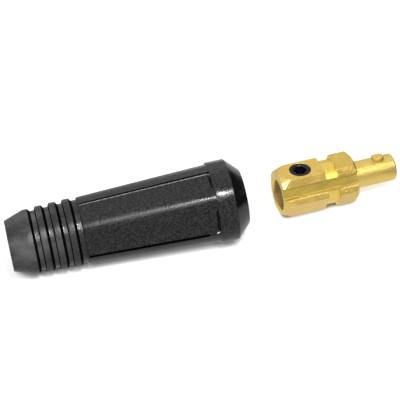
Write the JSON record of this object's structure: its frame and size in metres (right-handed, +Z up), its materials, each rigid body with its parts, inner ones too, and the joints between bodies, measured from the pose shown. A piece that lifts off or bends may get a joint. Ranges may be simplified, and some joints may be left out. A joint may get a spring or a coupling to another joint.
{
  "type": "welding cable plug",
  "caption": "Bayonet plug for a welding cable, taken apart: ribbed rubber sleeve, hexagonal brass contact with keyway and lugged pin, and its hex-socket set screw.",
  "frame": {"origin": "on the contact's lower flat, under its axis, 8.8 mm from its cable end", "axes": "+X along the contact's axis towards the pin tip, +Z up; the loose sleeve lies behind the contact at -X, tail away from it"},
  "size_m": [0.1306, 0.0292, 0.0267],
  "materials": {
    "rubber_sleeve": "moulded, satin black",
    "brass_contact": "turned and milled, bare",
    "set_screw": "black oxide"
  },
  "bodies": {
    "plug": {"rubber_sleeve": "rubber_sleeve", "brass_contact": "brass_contact"},
    "screw": {"set_screw": "set_screw"}
  },
  "joints": [
    {"name": "screw_travel", "type": "slide", "parent": "plug", "child": "screw", "axis": [0, 0, 1], "range_m": [-0.0043, 0.005]}
  ]
}
